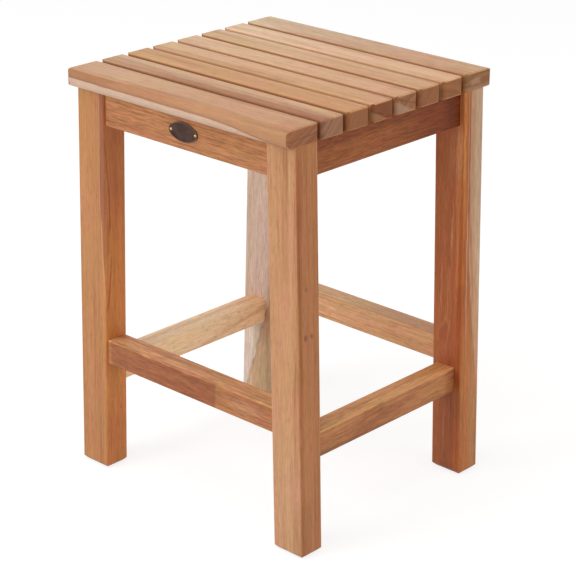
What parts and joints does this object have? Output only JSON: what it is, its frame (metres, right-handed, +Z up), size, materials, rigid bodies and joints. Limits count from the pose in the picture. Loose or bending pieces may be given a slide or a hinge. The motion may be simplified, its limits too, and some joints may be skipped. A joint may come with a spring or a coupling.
{
  "type": "slatted shower stool",
  "caption": "Square teak stool for a shower: spaced seat slats on a jointed frame of splayed legs, aprons and stretchers.",
  "frame": {"origin": "on the floor, under the middle of the seat", "axes": "+Z up, the front with the badge faces -Y, the slats run along X"},
  "size_m": [0.3342, 0.309, 0.457],
  "materials": {
    "leg_teak": "sanded and lightly oiled teak",
    "rail_teak": "sanded and lightly oiled teak",
    "slat_teak": "sanded and lightly oiled teak, paler on top",
    "screw_steel": "stainless steel",
    "badge_bronze": "dark oxidised plate",
    "pin_brass": "dull brass"
  },
  "bodies": {
    "root": {"leg_front_left": "leg_teak", "leg_front_right": "leg_teak", "leg_back_left": "leg_teak", "leg_back_right": "leg_teak", "apron_front": "rail_teak", "apron_back": "rail_teak", "apron_left": "rail_teak", "apron_right": "rail_teak", "stretcher_front": "rail_teak", "stretcher_back": "rail_teak", "stretcher_left": "rail_teak", "stretcher_right": "rail_teak", "slat_1": "slat_teak", "slat_2": "slat_teak", "slat_3": "slat_teak", "slat_4": "slat_teak", "slat_5": "slat_teak", "slat_6": "slat_teak", "slat_7": "slat_teak", "slat_8": "slat_teak", "cleat_left": "rail_teak", "cleat_right": "rail_teak", "slat_screws": "screw_steel", "apron_screws": "screw_steel", "cleat_screws": "screw_steel", "badge_plate": "badge_bronze", "badge_pins": "pin_brass"}
  },
  "joints": []
}
